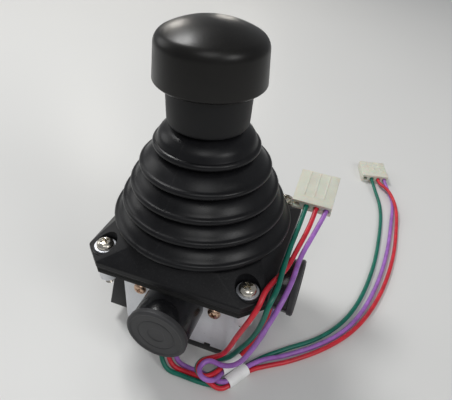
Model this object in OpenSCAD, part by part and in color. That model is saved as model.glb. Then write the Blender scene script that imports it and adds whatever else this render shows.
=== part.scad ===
// Two-axis panel joystick: mushroom knob, rubber gaiter, cast body,
// two round potentiometer pods and two wire sets with nylon connectors.
// Millimetres. Origin on the lever's axis, in the bezel's mounting face. +Z up,
// -Y towards the front pod, +X towards the right pod.

/* [Bezel] */
// Width of the square bezel across its flats
bezel_w = 86; // [84:1:92]
// Length cut off each bezel side at a corner
bezel_chamfer = 9.3; // [7:0.1:10]
// Height of the bezel's upright edge
bezel_edge_h = 3; // [2:0.5:4]
// Height of the bezel's collar round the gaiter
bezel_collar_h = 11; // [10:0.5:12]
// Distance between neighbouring mounting screws
screw_pitch = 68; // [66:0.5:69]

/* [Body] */
// Width of the cast body along X
body_w = 60; // [58:1:62]
// Depth of the cast body along Y
body_d = 62; // [60:1:64]
// Depth of the cast body below the mounting face
body_h = 46; // [42:1:48]
// Wall thickness of the cast body
wall = 3; // [2.5:0.5:3.5]
// Height of the black bottom cover
base_h = 8; // [6:0.5:9]

/* [Lever] */
// Depth of the pivot centre below the mounting face
pivot_depth = 19.8; // [18:0.1:20.5]
// Diameter of the lever's steel rod
rod_d = 6; // [5:0.5:6]
// Radius of the neck sleeve under the knob
neck_r = 18.1; // [17:0.1:19]
// Height of the neck sleeve's lower edge
neck_z = 60.5; // [60:0.5:66]
// Radius of the knob's lower rim
knob_r = 23.3; // [22:0.1:26]
// Height of the knob's lower rim
knob_z = 78; // [76:0.5:84]
// Height of the knob from rim to crown
knob_h = 24.4; // [22:0.1:27]

/* [Pods] */
// Radius of a potentiometer pod
pod_r = 13.7; // [13:0.1:14]
// Radius of a pod's end cap
cap_r = 14.5; // [14.2:0.1:15]
// Distance of a pod cap's outer face from the lever's axis
pod_reach = 53; // [51:0.5:56]

/* [Wiring] */
// Outer diameter of a wire
wire_d = 2.4; // [2:0.1:2.4]
// Distance between neighbouring ways of a connector
way_pitch = 5.08; // [5:0.01:5.1]

/* [Hidden] */

$fn = 64;
eps = 0.01;          // overlap that joins solids of one piece
run = 0.05;          // radial clearance of a shaft in its bore
slip = 0.02;         // radial clearance of a pushed-on piece

bezel_half = bezel_w / 2;
boss_x = screw_pitch / 2;
pivot_z = -pivot_depth;
rod_r = rod_d / 2;
rod_low = pivot_z + 6;
gasket_t = 1.5;
flange_t = 2;
flange_z = -gasket_t - flange_t;
body_corner = 4.5;
base_z = -body_h - base_h;

seat_z = 4.6;        // floor of a screw's counterbore
seat_r = 5.7;
washer_t = 1;
washer_r = 5;
head_r = 4;
head_h = 2.8;
screw_r = 2;
clamp_x = 19.2;      // distance of a pod's clamp screws from its axis
thread_r = 1.5;      // M3 screws of the pods and the bottom cover
screw_end = -17.5;
boss_end = -13.5;
boss_r = 4.2;

bezel_bore_r = 37.7;
collar_r = 40.5;
gaiter_lip_r = 40.1;
gaiter_lip_t = 1.5;
gaiter_wall = 1.2;
// Beads of the gaiter from the lowest to the highest: [radius, height]
beads = [[41.9, 14.2], [37.7, 23], [33.7, 31.9], [29.5, 41.5], [23.6, 51.2]];
bead_r = 1.3;        // rounding of a bead
tuck = 4.2;          // depth of the groove below a bead
fall = 3;            // height of a bead above its groove
coil_r = 4.6;        // return springs
coil_wire = 0.4;
hub_r = 12;          // plastic hub that carries the gaiter's collar
hub_low = 56;
hub_high = 69;

stub_r = 3;          // shafts of the cradle and the yoke
hole_r = 4.6;        // holes for the bushes in the cast walls
cradle_x = 20;
cradle_y = 18;
cradle_bar = 5;
cradle_t = 8;
pin_r = 2.5;
arch_in = 22;
arch_out = 25;
arch_w = 14;
slot_half = rod_r + 0.75;
slot_reach = 14.5;

pod_wall = 1.5;
cap_t = 3;
cap_lip = 1.8;
track_t = 1.2;       // resistive disc held by the cap's lip
track_low = pod_reach - cap_t - cap_lip - track_t;
exit_d = 41;         // distance of a pod's wire slot from the lever's axis
exit_w = 9.6;
wire_r = wire_d / 2;

sleeve_r = 3.05;
sleeve_bore = 2.7;
conn_w = 4 * way_pitch;
conn_l = 22;
conn_t = 6.6;

// Wires of the front pod, from the pod to their connector
front_green = [[-3, -41, -31], [-3, -41, -40], [-2, -44, -48], [2.5, -46.9, -52.3],
  [9, -47.1, -52.7], [17, -47.2, -52.7], [21.5, -47, -52.7], [25.8, -46.4, -52.7],
  [29.2, -45.2, -52.3], [31.2, -43.1, -51.6], [37.4, -32.5, -51.6], [43.8, -23.2, -52.5],
  [55, -12.2, -52.7], [70, 1.3, -52.7], [83, 23, -52.7], [91.3, 60, -52.7], [93.4, 100, -52.7],
  [91.3, 136, -52.7], [84.1, 160.2, -50.9], [81.4, 170.4, -50.7], [80.7, 173.3, -50.7]];
front_red = [[0, -41, -31], [0, -41, -40], [1.5, -43, -48.3], [4.5, -44.4, -52],
  [9.5, -44.6, -52.7], [17, -44.8, -52], [21.2, -45.6, -50.3], [25.8, -47.4, -50.2],
  [30.3, -47.5, -51.6], [33.4, -44.3, -51.6], [39.6, -33.7, -51.6], [46.5, -27.2, -52.6],
  [58, -19, -52.7], [74.5, -3.5, -52.7], [88, 16, -52.7], [98.5, 47, -52.7], [104, 85, -52.7],
  [104.2, 118, -52.5], [102.6, 134, -50.4], [99.2, 148.5, -50.1], [94.2, 159.5, -50.1],
  [87.4, 167.4, -50.7], [86.3, 171.7, -50.7], [85.6, 174.6, -50.7]];
front_purple = [[3, -41, -31], [3, -41, -40], [4.5, -41.2, -48.3], [7, -41.8, -52],
  [11, -42, -52.7], [17, -42.4, -52.4], [21.2, -43, -51.2], [25.2, -44.4, -50.7],
  [29, -45.3, -49.4], [32.3, -43.7, -49.5], [38.5, -33.1, -49.5], [44.8, -25.3, -50.6],
  [54, -17.5, -52.7], [70.5, -3.2, -52.7], [84, 14.8, -52.7], [94.2, 46, -52.7],
  [99.6, 85, -52.7], [100.4, 124, -52.7], [100, 145, -52.7], [97.2, 156.5, -52.5],
  [92.9, 166.5, -50.7], [91.3, 172.9, -50.7], [90.5, 175.8, -50.7]];
// Wires of the right pod, from the pod to their connector
right_green = [[41, 0, -31], [41, 0, -40], [40.2, -4, -47.6], [38, -10.5, -51.2],
  [35, -21.5, -51.6], [32.6, -28.4, -51.6], [26.3, -39.1, -49.6], [23.6, -44.6, -47.6],
  [20, -46.9, -47.2], [16.6, -44.4, -46.9], [17.2, -40, -46.4], [21.5, -37.2, -45.4],
  [28.8, -37, -42.2], [34.6, -35.9, -32.7], [39.8, -36.8, -20], [42.9, -37.6, -7],
  [44.2, -36.6, 3.2], [45.5, -29, 6.6], [45.2, -22, 7.6], [44.7, -3, 7], [45.2, 14, 8.6],
  [45.5, 26, 11.3], [45.5, 28.9, 12.1]];
right_red = [[41, -3, -31], [41, -3, -38], [40.3, -6.5, -44.5], [38.5, -12.5, -48],
  [36.1, -21.5, -49.4], [33.7, -29, -49.5], [27.4, -39.7, -47.5], [25.6, -45, -45.4],
  [21.6, -48.4, -44.8], [17.9, -46, -44.4], [18.3, -41.5, -43.9], [22.4, -39.1, -42.2],
  [28, -39.2, -35.5], [33.8, -40.6, -17], [38, -41.7, -3.5], [40.5, -38.5, 3.3],
  [41, -33.5, 6.3], [42.7, -27, 6.9], [44.2, -20, 4.6], [46.2, -12, 4], [47.5, -2, 4.6],
  [49.8, 14, 7.8], [50.6, 26, 11.3], [50.6, 28.9, 12.1]];
right_purple = [[41, 3, -31], [41, 3, -41], [41.6, -1, -49.5], [40.9, -9, -51.9],
  [37.4, -22, -51.6], [34.8, -29.6, -51.6], [28.5, -40.3, -49.6], [28, -45.6, -46.6],
  [24.8, -50.2, -43.3], [20.4, -49.6, -42], [19.3, -45, -41.5], [22.6, -41.9, -40.4],
  [28.5, -42.8, -39.8], [35.2, -41, -37.4], [40.5, -38.3, -27], [44.3, -36.9, -13],
  [48.3, -32, 0.5], [50, -20, 3.6], [50.4, -4, 4.2], [53.4, 14, 7.2], [55.7, 26, 11.3],
  [55.7, 28.9, 12.1]];
// Sleeves: [start, end] on their axes
front_sleeve_run = [[32.3, -43.7, -50.9], [38.5, -33.1, -50.9]];
right_sleeve_run = [[33.7, -29, -50.9], [27.4, -39.7, -48.9]];
// Connectors: place of the first wired way, turn about Z and rise of the far end
right_plug_at = [45.5, 26, 11.3];
right_plug_turn = 0;
right_plug_rise = 15;
front_plug_at = [81.4, 170.4, -50.7];
front_plug_turn = 14;
front_plug_rise = 0;

function unit(v) = v / norm(v);
function along(p, i) = unit(p[min(i + 1, len(p) - 1)] - p[max(i - 1, 0)]);
function flatten_to(v, t) = unit(v - t * (v * t));
// Sideways direction at each point of a path, carried along without twist
function sides_of(p, i, n) =
  i == len(p) ? [] :
  let (m = flatten_to(n, along(p, i))) concat([m], sides_of(p, i + 1, m));
function start_side(p) =
  let (t = along(p, 0)) flatten_to(abs(t.x) > 0.8 ? [0, 1, 0] : [1, 0, 0], t);

// Round tube of radius r through the points p
module tube(p, r, sides) {
  across = sides_of(p, 0, start_side(p));
  rings = [for (i = [0 : len(p) - 1]) for (k = [0 : sides - 1])
    p[i] + r * (cos(360 * k / sides) * across[i]
      + sin(360 * k / sides) * cross(along(p, i), across[i]))];
  last = (len(p) - 1) * sides;
  skin = [for (i = [0 : len(p) - 2]) for (k = [0 : sides - 1])
    let (a = i * sides + k, b = i * sides + (k + 1) % sides)
    each [[a, a + sides, b + sides], [a, b + sides, b]]];
  near = [for (k = [0 : sides - 1]) k];
  far = [for (k = [sides - 1 : -1 : 0]) last + k];
  polyhedron(concat(rings), concat(skin, [near, far]));
}

module corners(d) {
  for (sx = [-1, 1]) for (sy = [-1, 1]) translate([sx * d, sy * d, 0]) children();
}

module cover_points() {
  for (sx = [-1, 1]) for (sy = [-1, 1])
    translate([sx * (body_w / 2 - 10), sy * (body_d / 2 - 8), 0]) children();
}

module chamfered_square(half, cut) {
  polygon([[-half, cut - half], [cut - half, -half], [half - cut, -half],
    [half, cut - half], [half, half - cut], [half - cut, half],
    [cut - half, half], [-half, half - cut]]);
}

module rounded_box(w, d, r, low, high) {
  translate([0, 0, low]) linear_extrude(high - low) {
    square([w - 2 * r, d], center = true);
    square([w, d - 2 * r], center = true);
    for (sx = [-1, 1]) for (sy = [-1, 1])
      translate([sx * (w / 2 - r), sy * (d / 2 - r)]) circle(r);
  }
}

// Turns a shape made along +Z so that it runs outwards to the front or the right
module to_front() { translate([0, 0, pivot_z]) rotate([90, 0, 0]) children(); }
module to_right() { translate([0, 0, pivot_z]) rotate([90, 0, 90]) children(); }

module ring(r_out, r_in, low, high) {
  translate([0, 0, low]) difference() {
    cylinder(h = high - low, r = r_out);
    translate([0, 0, -eps]) cylinder(h = high - low + 2 * eps, r = r_in);
  }
}

module bezel() {
  color([0.1, 0.1, 0.11]) difference() {
    union() {
      hull() {
        linear_extrude(bezel_edge_h) chamfered_square(bezel_half, bezel_chamfer);
        cylinder(h = bezel_collar_h, r = collar_r, $fn = 48);
      }
      corners(boss_x) cylinder(h = seat_z, r = seat_r);
    }
    translate([0, 0, -eps]) cylinder(h = bezel_collar_h + 1, r = bezel_bore_r);
    translate([0, 0, -eps]) cylinder(h = gaiter_lip_t + 0.1, r = gaiter_lip_r + 0.2);
    corners(boss_x) {
      translate([0, 0, -eps]) cylinder(h = seat_z + 1, r = screw_r + 0.25);
      translate([0, 0, seat_z]) cylinder(h = bezel_collar_h, r = seat_r);
    }
  }
}

module gasket() {
  color([0.05, 0.05, 0.05]) translate([0, 0, -gasket_t]) difference() {
    linear_extrude(gasket_t) chamfered_square(bezel_half - 0.6, bezel_chamfer);
    translate([0, 0, -eps]) cylinder(h = gasket_t + 2 * eps, r = 35);
    translate([0, 0, -eps]) corners(boss_x)
      cylinder(h = gasket_t + 2 * eps, r = screw_r + 0.25);
  }
}

module cross_recess(top, deep) {
  for (a = [0, 90]) rotate(a) translate([-1.9, -0.5, top - deep]) cube([3.8, 1, deep + 1]);
}

module pan_screw(seat, end, r_head, h_head, r_thread) {
  difference() {
    union() {
      translate([0, 0, end]) cylinder(h = seat - end + eps, r = r_thread);
      translate([0, 0, seat]) cylinder(h = h_head * 0.45, r = r_head);
      translate([0, 0, seat + h_head * 0.45])
        cylinder(h = h_head * 0.55, r1 = r_head, r2 = r_head * 0.72);
    }
    cross_recess(seat + h_head, h_head * 0.55);
  }
}

module bezel_screws() {
  color([0.75, 0.75, 0.74]) corners(boss_x)
    pan_screw(seat_z + washer_t, screw_end, head_r, head_h, screw_r);
}

module bezel_washers() {
  color([0.82, 0.83, 0.84]) corners(boss_x)
    ring(washer_r, screw_r + 0.2, seat_z, seat_z + washer_t);
}

module casting() {
  color([0.72, 0.75, 0.79]) difference() {
    union() {
      rounded_box(body_w, body_d, body_corner, -body_h, flange_z + flange_t);
      translate([0, 0, flange_z]) linear_extrude(flange_t)
        chamfered_square(bezel_half - 1.5, bezel_chamfer);
      corners(boss_x) translate([0, 0, boss_end])
        cylinder(h = flange_z - boss_end + eps, r = boss_r);
    }
    difference() {
      rounded_box(body_w - 2 * wall, body_d - 2 * wall, 2, -body_h - 1, 1);
      cover_points() translate([0, 0, -body_h]) cylinder(h = 9, r = 5.2);
    }
    cover_points() translate([0, 0, -body_h - 1]) cylinder(h = 9, r = thread_r + slip);
    corners(boss_x) translate([0, 0, boss_end - 1])
      cylinder(h = 20, r = screw_r + slip);
    to_front() translate([0, 0, -body_d]) cylinder(h = 2 * body_d, r = hole_r);
    to_right() translate([0, 0, -body_w]) cylinder(h = 2 * body_w, r = hole_r);
    for (sx = [-1, 1]) {
      to_front() translate([sx * clamp_x, 0, body_d / 2 - wall - 1])
        cylinder(h = wall + 2, r = thread_r + slip);
      to_right() translate([sx * clamp_x, 0, body_w / 2 - wall - 1])
        cylinder(h = wall + 2, r = thread_r + slip);
    }
    translate([15, -body_d / 2 - 1, -body_h - eps]) cube([3.4, wall + 2, 1.8]);
  }
}

// Black tray that closes the body from below, with a tab in the body's notch
module base_cover() {
  color([0.09, 0.09, 0.1]) {
    difference() {
      hull() {
        rounded_box(body_w - 9, body_d - 2, 3, -body_h - 1, -body_h);
        rounded_box(body_w - 13, body_d - 5, 3, base_z, base_z + 1);
      }
      rounded_box(body_w - 17, body_d - 9, 3, base_z + 1.8, -body_h + 1);
      cover_points() translate([0, 0, base_z - 1]) cylinder(h = 2.6 + slip, r = 3 + slip);
      cover_points() translate([0, 0, base_z]) cylinder(h = base_h, r = thread_r + slip);
    }
    cover_points() ring(3.9, thread_r + slip, base_z + 1.7, -body_h);
    translate([15.2, -body_d / 2 + 0.6, -body_h - eps]) cube([3, wall - 0.8, 1.6]);
  }
}

module base_screws() {
  color([0.7, 0.7, 0.7]) cover_points() difference() {
    union() {
      translate([0, 0, base_z]) cylinder(h = 1.6, r = 3);
      translate([0, 0, base_z + 1]) cylinder(h = base_h + 6, r = thread_r);
    }
    for (a = [0, 90]) rotate(a) translate([-1.8, -0.4, base_z - 1]) cube([3.6, 0.8, 1.9]);
  }
}

// Moulded cover over a return spring, drawn for the left side
module spring_cover(start) {
  out = start + 6;
  skin = 1.5;
  half = 26;
  difference() {
    translate([0, half, 0]) rotate([90, 0, 0]) linear_extrude(2 * half)
      polygon([[-start, -4.5], [-out, -4.5], [-out - 1, -24.5],
        [-out - 5.3, -body_h], [-start, -body_h]]);
    translate([0, half - skin, 0]) rotate([90, 0, 0]) linear_extrude(2 * (half - skin))
      polygon([[-start + 1, -4.5 - skin], [-out + skin, -4.5 - skin],
        [-out - 1 + skin, -24.5], [-out - 5 + skin, -body_h + skin],
        [-start + 1, -body_h + skin]]);
  }
}

module side_cover() {
  color([0.08, 0.08, 0.09]) spring_cover(body_w / 2);
}

module rear_cover() {
  color([0.08, 0.08, 0.09]) rotate(-90) spring_cover(body_d / 2);
}

// Outline of the bellows' outer skin, from the bezel up to the hub
function bead_arc(b) = [for (a = [-70 : 35 : 70])
  [b[0] + bead_r * (cos(a) - 1), b[1] + bead_r * sin(a)]];
function swell(b, v) = [for (f = [0.25, 0.55, 0.8])
  [b[0] - 0.9 + (v[0] - b[0] + 0.9) * f,
   b[1] + 1.2 + (v[1] - b[1] - 1.2) * f + bead_r * sin(180 * f)]];
function valley(b) = [b[0] - tuck, b[1] - fall];
outer_skin = concat(
  [[bezel_bore_r - 0.25, 0], [bezel_bore_r - 0.25, bezel_collar_h + 0.3]],
  [for (i = [0 : 4]) each concat(bead_arc(beads[i]),
    i < 4 ? concat(swell(beads[i], valley(beads[i + 1])), [valley(beads[i + 1])]) :
    [[22.2, 54.6], [20, 57], [17.2, 58.6], [14.6, 59.2]])],
  [[13.6, 60], [13.6, 67]]);
inner_skin = concat(
  [[36, 0], [36, bezel_collar_h + 1]],
  [for (i = [0 : 3]) each [[beads[i][0] - 1.9, beads[i][1] + 0.1],
    [valley(beads[i + 1])[0] - 1.5, valley(beads[i + 1])[1] + 0.1]]],
  [[beads[4][0] - 1.9, beads[4][1] + 0.3], [18.6, 56], [hub_r + slip, 57.8], [hub_r + slip, 67]]);

module gaiter() {
  color([0.12, 0.12, 0.13]) {
    rotate_extrude() polygon(concat(outer_skin,
      [for (i = [len(inner_skin) - 1 : -1 : 0]) inner_skin[i]]));
    ring(gaiter_lip_r, 36.5, 0, gaiter_lip_t);
  }
}

module gaiter_clip() {
  color([0.7, 0.7, 0.72]) rotate_extrude() translate([14.25, 63.5]) circle(0.6, $fn = 16);
}

module boot_hub() {
  color([0.1, 0.1, 0.1]) difference() {
    union() {
      translate([0, 0, hub_low]) cylinder(h = hub_high - hub_low, r = hub_r);
      translate([0, 0, hub_high - eps]) cylinder(h = 1.5, r = neck_r - 2.8);
    }
    translate([0, 0, hub_low - 1]) cylinder(h = 20, r = rod_r + slip);
  }
}

// Mushroom knob: a slightly tapered skirt under a crowned top
module knob() {
  skirt = knob_h * 0.62;
  top_r = knob_r * 0.962;
  edge = 5.8;
  crown_r = 41;
  top_z = knob_z + knob_h;
  mid_z = top_z - crown_r + sqrt(pow(crown_r - edge, 2) - pow(top_r - edge, 2));
  meet = atan2(mid_z - top_z + crown_r, top_r - edge);
  color([0.13, 0.13, 0.14]) difference() {
    rotate_extrude() polygon(concat(
      [[0, knob_z + 0.6], [knob_r - 1, knob_z], [knob_r - 0.2, knob_z + 0.6]],
      [for (i = [0 : 4]) let (a = i * meet / 4)
        [top_r - edge + edge * cos(a), mid_z + edge * sin(a)]],
      [for (i = [1 : 6]) let (a = meet + i * (90 - meet) / 6)
        [crown_r * cos(a), top_z - crown_r + crown_r * sin(a)]]));
    translate([0, 0, knob_z - 1]) cylinder(h = 6, r = neck_r + slip);
    translate([0, 0, knob_z]) cylinder(h = 16, r = 5.5 + slip);
  }
}

module knob_insert() {
  color([0.8, 0.65, 0.35]) ring(5.5, rod_r + slip, knob_z + 4, knob_z + 15.5);
}

module jam_nut() {
  color([0.7, 0.7, 0.72]) difference() {
    translate([0, 0, knob_z - 1.2]) cylinder(h = 5, r = 5.77, $fn = 6);
    translate([0, 0, knob_z - 2]) cylinder(h = 8, r = rod_r + slip);
  }
}

module neck_sleeve() {
  low_r = neck_r - 0.5;
  color([0.13, 0.13, 0.14]) rotate_extrude() polygon([
    [low_r - 2.1, neck_z + 0.2], [low_r - 1.3, neck_z], [low_r - 0.6, neck_z + 0.35],
    [low_r - 0.15, neck_z + 1.2], [low_r, neck_z + 2.4], [neck_r, knob_z - 0.5],
    [neck_r, knob_z + 5], [rod_r + 3.5, knob_z + 5], [rod_r + 3.5, knob_z + 2.6],
    [neck_r - 2.2, knob_z + 2.6]]);
}

module lever_rod() {
  color([0.7, 0.71, 0.72]) translate([0, 0, rod_low])
    cylinder(h = knob_z + 15.5 - rod_low, r = rod_r);
}

module lever_hub() {
  color([0.6, 0.62, 0.65]) difference() {
    union() {
      translate([0, 12.6, pivot_z]) rotate([90, 0, 0]) cylinder(h = 25.2, r = 6.5);
      translate([0, 0, pivot_z]) cylinder(h = 14, r = 5);
    }
    translate([0, 14, pivot_z]) rotate([90, 0, 0]) cylinder(h = 28, r = pin_r + run);
    translate([0, 0, rod_low]) cylinder(h = 10, r = rod_r + slip);
  }
}

module lever_pin() {
  color([0.7, 0.71, 0.72]) translate([0, cradle_y, pivot_z]) rotate([90, 0, 0])
    cylinder(h = 2 * cradle_y, r = pin_r);
}

// Frame that carries the lever and turns about X
module cradle() {
  color([0.65, 0.66, 0.68]) difference() {
    union() {
      translate([-cradle_x, -cradle_y, pivot_z - cradle_t / 2])
        cube([2 * cradle_x, 2 * cradle_y, cradle_t]);
      translate([0, 0, pivot_z]) rotate([0, 90, 0]) translate([0, 0, -body_w / 2 - 4.2])
        cylinder(h = body_w + 4.2 + 14, r = stub_r);
    }
    translate([cradle_bar - cradle_x, cradle_bar - cradle_y, pivot_z - cradle_t])
      cube([2 * (cradle_x - cradle_bar), 2 * (cradle_y - cradle_bar), 2 * cradle_t]);
    translate([0, cradle_y + 1, pivot_z]) rotate([90, 0, 0])
      cylinder(h = 2 * cradle_y + 2, r = pin_r + slip);
  }
}

// Slotted arch over the lever that turns about Y
module yoke() {
  color([0.62, 0.63, 0.66]) difference() {
    union() {
      translate([arch_w / 2, 0, pivot_z]) rotate([0, -90, 0]) difference() {
        cylinder(h = arch_w, r = arch_out);
        translate([0, 0, -1]) cylinder(h = arch_w + 2, r = arch_in);
        translate([-2 * arch_out, -2 * arch_out, -1])
          cube([2 * arch_out, 4 * arch_out, arch_w + 2]);
      }
      for (s = [-1, 1]) translate([0, s * (arch_in + arch_out) / 2, pivot_z])
        rotate([90, 0, 0]) cylinder(h = arch_out - arch_in, r = arch_w / 2, center = true);
      translate([0, -arch_in - 0.5, pivot_z]) rotate([90, 0, 0])
        cylinder(h = body_d / 2 + 14 - arch_in - 0.5, r = stub_r);
      translate([0, arch_in + 0.5, pivot_z]) rotate([-90, 0, 0])
        cylinder(h = body_d / 2 + 4.2 - arch_in - 0.5, r = stub_r);
    }
    translate([-slot_half, -slot_reach, pivot_z + arch_in * 0.6])
      cube([2 * slot_half, 2 * slot_reach, arch_out]);
  }
}

module bush(flange_at, out) {
  ring(hole_r - slip, stub_r + run, flange_at, out);
  ring(hole_r + 1.4, stub_r + run, flange_at - 1, flange_at);
}

module bushes() {
  color([0.72, 0.55, 0.3]) {
    to_front() bush(body_d / 2 - wall, body_d / 2);
    rotate(180) to_front() bush(body_d / 2 - wall, body_d / 2);
    to_right() bush(body_w / 2 - wall, body_w / 2);
    rotate(180) to_right() bush(body_w / 2 - wall, body_w / 2);
  }
}

// Flat return spring round a shaft end, with its two tails
function coil_run(start) = concat(
  [[coil_r, -11, start], [coil_r, -4, start]],
  [for (a = [0 : 30 : 1080]) [coil_r * cos(a), coil_r * sin(a), start + a / 1080 * 2.7]],
  [[coil_r, 4, start + 2.7 + 0.1], [coil_r, 11, start + 2.8]]);

module cradle_spring() {
  color([0.75, 0.76, 0.78]) rotate(180) to_right() rotate(-90)
    tube(coil_run(body_w / 2 + 0.6), coil_wire, 6);
}

module yoke_spring() {
  color([0.75, 0.76, 0.78]) rotate(180) to_front() rotate(-90)
    tube(coil_run(body_d / 2 + 0.6), coil_wire, 6);
}

// Pod parts, drawn along +Z from the lever's axis
module pod_housing(start) {
  difference() {
    translate([0, 0, start]) cylinder(h = pod_reach - cap_t - start, r = pod_r);
    translate([0, 0, start + 2]) cylinder(h = pod_reach, r = pod_r - pod_wall);
    translate([0, 0, start - 1]) cylinder(h = 4, r = 8);
    translate([-exit_w / 2, -pod_r - 1, exit_d - 2]) cube([exit_w, 4, 4]);
  }
}

module pod_cap() {
  outer = pod_reach;
  rotate_extrude() polygon([[0, outer - cap_t], [cap_r - 0.3, outer - cap_t],
    [cap_r, outer - cap_t + 0.4], [cap_r, outer - 0.9], [cap_r - 0.3, outer - 0.3],
    [cap_r - 0.9, outer], [cap_r - 2, outer - 0.1], [cap_r - 2.4, outer - 0.5],
    [cap_r * 0.62, outer - 0.5], [cap_r * 0.6, outer - 0.9], [cap_r * 0.56, outer - 0.5],
    [cap_r * 0.28, outer - 0.5], [cap_r * 0.26, outer - 0.8], [0, outer - 0.8]]);
  ring(pod_r - pod_wall - slip, pod_r - 2.8, outer - cap_t - cap_lip, outer - cap_t + eps);
}

module pod_track() {
  ring(pod_r - pod_wall - 0.1, 1.5, track_low, track_low + track_t);
}

module pod_wiper(start) {
  ring(5.5, stub_r + slip, start + 10.5, start + 13.5);
  translate([-1.2, -10, start + 12.4]) cube([2.4, 5.2, 0.6]);
  translate([-1.2, -10, start + 12.9]) cube([2.4, 0.8, track_low - start - 12.95]);
}

module front_pod_housing() { color([0.09, 0.09, 0.1]) to_front() pod_housing(body_d / 2); }
module front_pod_cap() { color([0.28, 0.28, 0.29]) to_front() pod_cap(); }
module front_track() { color([0.5, 0.35, 0.2]) to_front() pod_track(); }
module front_wiper() { color([0.85, 0.85, 0.8]) to_front() pod_wiper(body_d / 2); }
module right_pod_housing() { color([0.09, 0.09, 0.1]) to_right() pod_housing(body_w / 2); }
module right_pod_cap() { color([0.28, 0.28, 0.29]) to_right() pod_cap(); }
module right_track() { color([0.5, 0.35, 0.2]) to_right() pod_track(); }
module right_wiper() { color([0.85, 0.85, 0.8]) to_right() pod_wiper(body_w / 2); }

module clamp_pair(start) {
  for (s = [-1, 1]) translate([s * clamp_x, 0, 0])
    pan_screw(start, start - wall - 3, 3.2, 2, thread_r);
}

module front_clamp_screws() { color([0.75, 0.45, 0.25]) to_front() clamp_pair(body_d / 2); }
module right_clamp_screws() { color([0.75, 0.45, 0.25]) to_right() clamp_pair(body_w / 2); }

module sleeve(ends) {
  way = ends[1] - ends[0];
  color([0.93, 0.93, 0.9]) translate(ends[0])
    rotate([0, acos(way.z / norm(way)), atan2(way.y, way.x)])
    ring(sleeve_r, sleeve_bore, 0, norm(way));
}

// Four-way nylon housing: way 1 is empty, wires enter from -Y
module place_connector(at, turn, rise) {
  translate(at) rotate([rise, 0, turn]) children();
}

module connector() {
  translate([-1.5 * way_pitch, 0, -conn_t / 2]) difference() {
    cube([conn_w, conn_l, conn_t]);
    for (i = [0 : 3]) {
      translate([(i + 0.5) * way_pitch, -1, conn_t / 2]) rotate([-90, 0, 0])
        cylinder(h = 9, r = 1.6);
      translate([(i + 0.5) * way_pitch - 1.7, 7, conn_t / 2 - 1.9])
        cube([3.4, conn_l, 3.8]);
    }
    for (i = [0 : 3]) translate([(i + 0.5) * way_pitch - 1, 10, conn_t - 1.8])
      cube([2, 5, 3]);
  }
}

module terminals() {
  for (i = [0 : 2]) translate([i * way_pitch, 0, 0]) {
    translate([-1.1, 8, -0.9]) cube([2.2, 11, 1.8]);
    translate([0, 3.1, 0]) rotate([-90, 0, 0]) cylinder(h = 5, r = 1);
  }
}

module front_wire_green() { color([0.15, 0.6, 0.5]) tube(front_green, wire_r, 8); }
module front_wire_red() { color([0.85, 0.25, 0.3]) tube(front_red, wire_r, 8); }
module front_wire_purple() { color([0.65, 0.5, 0.75]) tube(front_purple, wire_r, 8); }
module right_wire_green() { color([0.15, 0.6, 0.5]) tube(right_green, wire_r, 8); }
module right_wire_red() { color([0.85, 0.25, 0.3]) tube(right_red, wire_r, 8); }
module right_wire_purple() { color([0.65, 0.5, 0.75]) tube(right_purple, wire_r, 8); }
module front_sleeve() { sleeve(front_sleeve_run); }
module right_sleeve() { sleeve(right_sleeve_run); }

module front_connector() {
  color([0.92, 0.92, 0.88])
    place_connector(front_plug_at, front_plug_turn, front_plug_rise) connector();
}
module front_terminals() {
  color([0.8, 0.8, 0.78])
    place_connector(front_plug_at, front_plug_turn, front_plug_rise) terminals();
}
module right_connector() {
  color([0.92, 0.92, 0.88])
    place_connector(right_plug_at, right_plug_turn, right_plug_rise) connector();
}
module right_terminals() {
  color([0.8, 0.8, 0.78])
    place_connector(right_plug_at, right_plug_turn, right_plug_rise) terminals();
}

bezel();
gasket();
bezel_screws();
bezel_washers();
casting();
base_cover();
base_screws();
side_cover();
rear_cover();
gaiter();
gaiter_clip();
boot_hub();
knob();
knob_insert();
jam_nut();
neck_sleeve();
lever_rod();
lever_hub();
lever_pin();
cradle();
yoke();
bushes();
cradle_spring();
yoke_spring();
front_pod_housing();
front_pod_cap();
front_track();
front_wiper();
right_pod_housing();
right_pod_cap();
right_track();
right_wiper();
front_clamp_screws();
right_clamp_screws();
front_wire_green();
front_wire_red();
front_wire_purple();
front_sleeve();
front_connector();
front_terminals();
right_wire_green();
right_wire_red();
right_wire_purple();
right_sleeve();
right_connector();
right_terminals();
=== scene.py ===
import math

import bpy
from mathutils import Matrix, Vector
from mathutils.geometry import interpolate_bezier


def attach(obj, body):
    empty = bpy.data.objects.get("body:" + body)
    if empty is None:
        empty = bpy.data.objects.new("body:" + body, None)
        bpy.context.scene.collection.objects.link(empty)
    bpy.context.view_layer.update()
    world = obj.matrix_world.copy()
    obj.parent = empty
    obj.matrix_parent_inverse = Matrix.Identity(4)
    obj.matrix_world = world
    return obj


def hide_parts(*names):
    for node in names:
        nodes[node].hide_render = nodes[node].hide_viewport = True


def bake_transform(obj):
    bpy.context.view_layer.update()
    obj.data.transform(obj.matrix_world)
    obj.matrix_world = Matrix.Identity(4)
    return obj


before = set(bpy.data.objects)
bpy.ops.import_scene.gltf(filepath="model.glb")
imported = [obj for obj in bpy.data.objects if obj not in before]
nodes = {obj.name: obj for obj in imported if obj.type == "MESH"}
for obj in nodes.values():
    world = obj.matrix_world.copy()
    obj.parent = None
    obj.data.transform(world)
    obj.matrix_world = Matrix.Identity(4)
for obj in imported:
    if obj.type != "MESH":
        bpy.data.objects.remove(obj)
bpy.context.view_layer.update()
scene = bpy.context.scene
MM = 0.001
PIVOT_Z = -0.0198        # height of both tilt axes
FLOOR_Z = -0.054         # the table under the wires


# ------------------------------------------------------------ camera

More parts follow.
